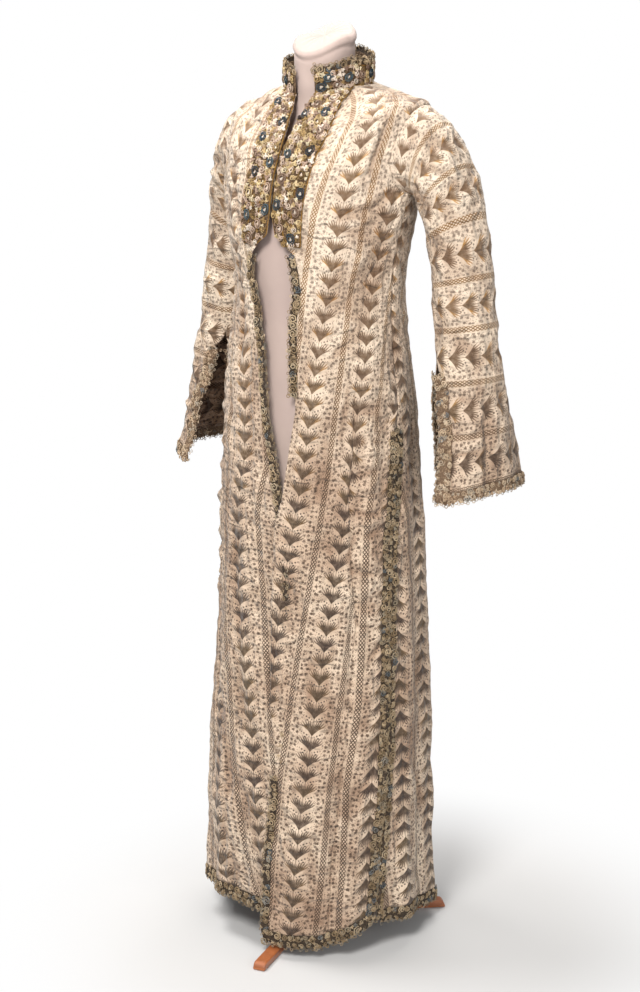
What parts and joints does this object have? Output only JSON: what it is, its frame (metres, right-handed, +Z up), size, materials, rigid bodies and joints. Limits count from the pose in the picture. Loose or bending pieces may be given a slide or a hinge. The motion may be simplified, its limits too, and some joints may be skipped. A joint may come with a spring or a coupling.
{
  "type": "entari robe on dress form with tripod stand",
  "caption": "Long front-opening robe with slit sleeves and side slits, lace edges and an embroidered collar and bib, on a limbless neck dress form and wooden tripod.",
  "frame": {"origin": "middle of the object's outline, on the floor", "axes": "+Z up; the robe faces -Y and the wearer's left is +X"},
  "size_m": [0.6654, 0.452, 1.562],
  "materials": {
    "cloth": "matt printed cotton and silk with a faint sheen",
    "embroidery": "coiled metal thread, half matt",
    "lace": "tarnished metal-thread lace, half matt",
    "calico": "matt",
    "wood": "satin varnish",
    "steel": "satin"
  },
  "bodies": {
    "root": {"front_left": "cloth", "front_right": "cloth", "gore_left": "cloth", "gore_right": "cloth", "back": "cloth", "sleeve_left": "cloth", "sleeve_right": "cloth", "collar": "embroidery", "bib_left": "embroidery", "bib_right": "embroidery", "button_knot": "embroidery", "lace_neck": "lace", "lace_front_left_upper": "lace", "lace_front_left_lower": "lace", "lace_front_right": "lace", "lace_gore_left": "lace", "lace_gore_right": "lace", "lace_back": "lace", "lace_sleeve_left": "lace", "lace_sleeve_right": "lace", "dress_form": "calico", "pole": "steel", "hub": "wood", "leg_1": "wood", "leg_2": "wood", "leg_3": "wood"}
  },
  "joints": []
}
